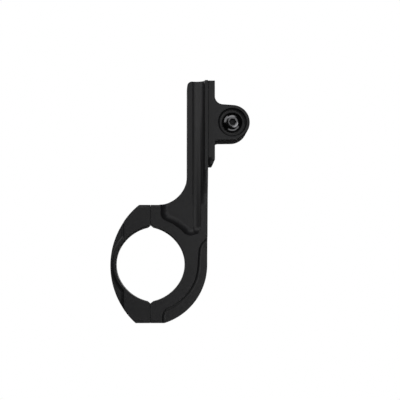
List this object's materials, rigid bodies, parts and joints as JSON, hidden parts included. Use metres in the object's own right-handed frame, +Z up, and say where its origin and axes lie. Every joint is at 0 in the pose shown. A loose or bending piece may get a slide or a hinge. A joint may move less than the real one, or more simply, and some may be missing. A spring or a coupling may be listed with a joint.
{
  "type": "bike camera mount",
  "caption": "Machined handlebar clamp with a tall T-section arm that carries a three-finger camera adapter and its pivot screw.",
  "frame": {"origin": "on the handlebar's axis, at the middle of the clamp's width", "axes": "+X from the clamp cap towards the camera adapter, +Y along the handlebar away from the pivot screw's head, +Z up the arm"},
  "size_m": [0.0639, 0.02, 0.1117],
  "materials": {
    "black_anodised": "bead blasted, black anodised",
    "black_steel": "black oxide, polished",
    "plain_steel": "zinc plated"
  },
  "bodies": {
    "mount_body": {"arm_body": "black_anodised", "camera_adapter": "black_anodised", "adapter_screw_upper": "black_steel", "adapter_screw_lower": "black_steel", "pivot_nut": "plain_steel"},
    "clamp_cap": {"clamp_cap": "black_anodised"},
    "clamp_screw_top": {"clamp_screw_top": "black_steel"},
    "clamp_screw_bottom": {"clamp_screw_bottom": "black_steel"},
    "pivot_screw": {"pivot_screw": "black_steel"}
  },
  "joints": [
    {"name": "cap_slide", "type": "slide", "parent": "mount_body", "child": "clamp_cap", "axis": [-1, 0, 0], "range_m": [0, 0.0084]},
    {"name": "clamp_screw_top_turn", "type": "hinge", "parent": "clamp_cap", "child": "clamp_screw_top", "pos_m": [-0.0028, 0, 0.0224], "axis": [-1, 0, 0], "range_deg": [0, 4320.1]},
    {"name": "clamp_screw_bottom_turn", "type": "hinge", "parent": "clamp_cap", "child": "clamp_screw_bottom", "pos_m": [-0.0028, 0, -0.0224], "axis": [-1, 0, 0], "range_deg": [0, 4320.1]},
    {"name": "pivot_screw_out", "type": "slide", "parent": "mount_body", "child": "pivot_screw", "axis": [0, -1, 0], "range_m": [0, 0.017]}
  ],
  "couplings": [
    {"joint": "clamp_screw_top_turn", "follows": "cap_slide", "rad_per_m": 8976},
    {"joint": "clamp_screw_bottom_turn", "follows": "cap_slide", "rad_per_m": 8976}
  ]
}
